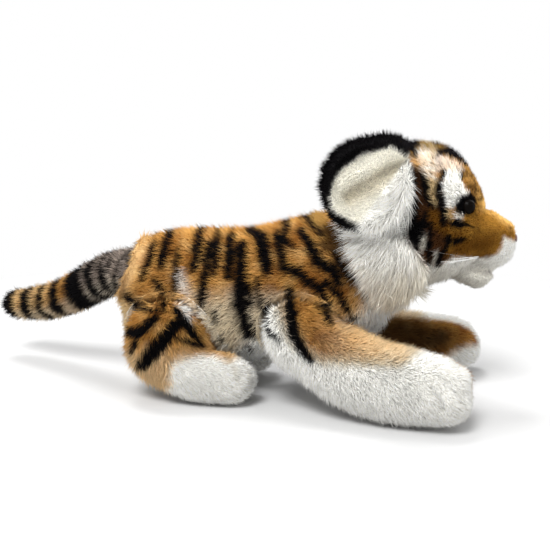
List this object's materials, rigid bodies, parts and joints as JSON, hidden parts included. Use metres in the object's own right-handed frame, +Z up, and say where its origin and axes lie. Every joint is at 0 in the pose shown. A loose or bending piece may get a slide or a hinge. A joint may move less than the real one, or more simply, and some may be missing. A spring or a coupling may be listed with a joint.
{
  "type": "plush tiger",
  "caption": "Stuffed tiger toy lying on its belly with its front legs stretched ahead, in striped plush with a white ruff, cupped ears, whiskers and a ringed tail.",
  "frame": {"origin": "on the floor, in the middle of the flat that the seat rests on", "axes": "+X towards the nose, +Y towards the tiger's left side, +Z up"},
  "size_m": [0.518, 0.2533, 0.2427],
  "materials": {
    "orange_plush": "long plush pile",
    "golden_plush": "short plush pile",
    "white_plush": "long plush pile",
    "black_plush": "plush pile",
    "cream_plush": "soft plush pile",
    "nose_plush": "short plush",
    "polyester_stuffing": "loose polyester fibre",
    "eye_plastic": "polished",
    "washer_plastic": "moulded",
    "whisker_filament": "drawn filament"
  },
  "bodies": {
    "torso": {"torso_skin": "orange_plush", "torso_stuffing": "polyester_stuffing"},
    "neck": {"neck_gusset": "orange_plush"},
    "head": {"head_skin": "orange_plush", "head_stuffing": "polyester_stuffing", "muzzle": "golden_plush", "chin": "white_plush", "nose": "nose_plush", "eye_right": "eye_plastic", "eye_left": "eye_plastic", "eye_washer_right": "washer_plastic", "eye_washer_left": "washer_plastic", "cheek_ruff_right": "white_plush", "cheek_ruff_left": "white_plush", "whiskers_right": "whisker_filament", "whiskers_left": "whisker_filament"},
    "ear_right": {"ear_back_right": "black_plush", "ear_lining_right": "cream_plush"},
    "ear_left": {"ear_back_left": "black_plush", "ear_lining_left": "cream_plush"},
    "front_leg_right": {"front_leg_right_skin": "orange_plush", "front_leg_right_stuffing": "polyester_stuffing", "front_paw_skin_right": "white_plush"},
    "front_leg_left": {"front_leg_left_skin": "orange_plush", "front_leg_left_stuffing": "polyester_stuffing", "front_paw_skin_left": "white_plush"},
    "hind_leg_right": {"hind_leg_right_skin": "orange_plush", "hind_leg_right_stuffing": "polyester_stuffing", "hind_foot_right_skin": "white_plush", "hind_foot_right_stuffing": "polyester_stuffing"},
    "hind_leg_left": {"hind_leg_left_skin": "orange_plush", "hind_leg_left_stuffing": "polyester_stuffing", "hind_foot_left_skin": "white_plush", "hind_foot_left_stuffing": "polyester_stuffing"},
    "tail": {"tail_skin": "orange_plush", "tail_stuffing": "polyester_stuffing", "tail_tip": "black_plush"}
  },
  "joints": [
    {"name": "neck_turn", "type": "hinge", "parent": "torso", "child": "neck", "pos_m": [0.135, 0, 0.108], "axis": [0, 0, 1], "range_deg": [-18, 15], "stiffness_Nm_per_rad": 6},
    {"name": "head_nod", "type": "hinge", "parent": "neck", "child": "head", "pos_m": [0.135, 0, 0.108], "axis": [-0.0347, 0.9939, -0.1045], "range_deg": [-10, 5], "stiffness_Nm_per_rad": 6},
    {"name": "ear_flex_right", "type": "hinge", "parent": "head", "child": "ear_right", "pos_m": [0.19248, -0.04137, 0.193], "axis": [0.371, 0.1099, 0.9221], "range_deg": [-15, 15], "stiffness_Nm_per_rad": 0.2},
    {"name": "ear_flex_left", "type": "hinge", "parent": "head", "child": "ear_left", "pos_m": [0.18887, 0.062, 0.18213], "axis": [0.371, 0.1099, 0.9221], "range_deg": [-15, 15], "stiffness_Nm_per_rad": 0.2},
    {"name": "front_leg_lift_right", "type": "hinge", "parent": "torso", "child": "front_leg_right", "pos_m": [0.118, -0.047, 0.066], "axis": [0, -1, 0], "range_deg": [0, 12], "stiffness_Nm_per_rad": 1.5},
    {"name": "front_leg_lift_left", "type": "hinge", "parent": "torso", "child": "front_leg_left", "pos_m": [0.118, 0.047, 0.066], "axis": [0, -1, 0], "range_deg": [0, 12], "stiffness_Nm_per_rad": 1.5},
    {"name": "hind_leg_lift_right", "type": "hinge", "parent": "torso", "child": "hind_leg_right", "pos_m": [-0.004, -0.041, 0.051], "axis": [0, -1, 0], "range_deg": [0, 10], "stiffness_Nm_per_rad": 1.5},
    {"name": "hind_leg_lift_left", "type": "hinge", "parent": "torso", "child": "hind_leg_left", "pos_m": [-0.004, 0.041, 0.051], "axis": [0, -1, 0], "range_deg": [0, 10], "stiffness_Nm_per_rad": 1.5},
    {"name": "tail_wag", "type": "hinge", "parent": "torso", "child": "tail", "pos_m": [-0.04, 0, 0.11], "axis": [0, 0, 1], "range_deg": [-18, 18], "stiffness_Nm_per_rad": 0.6}
  ]
}
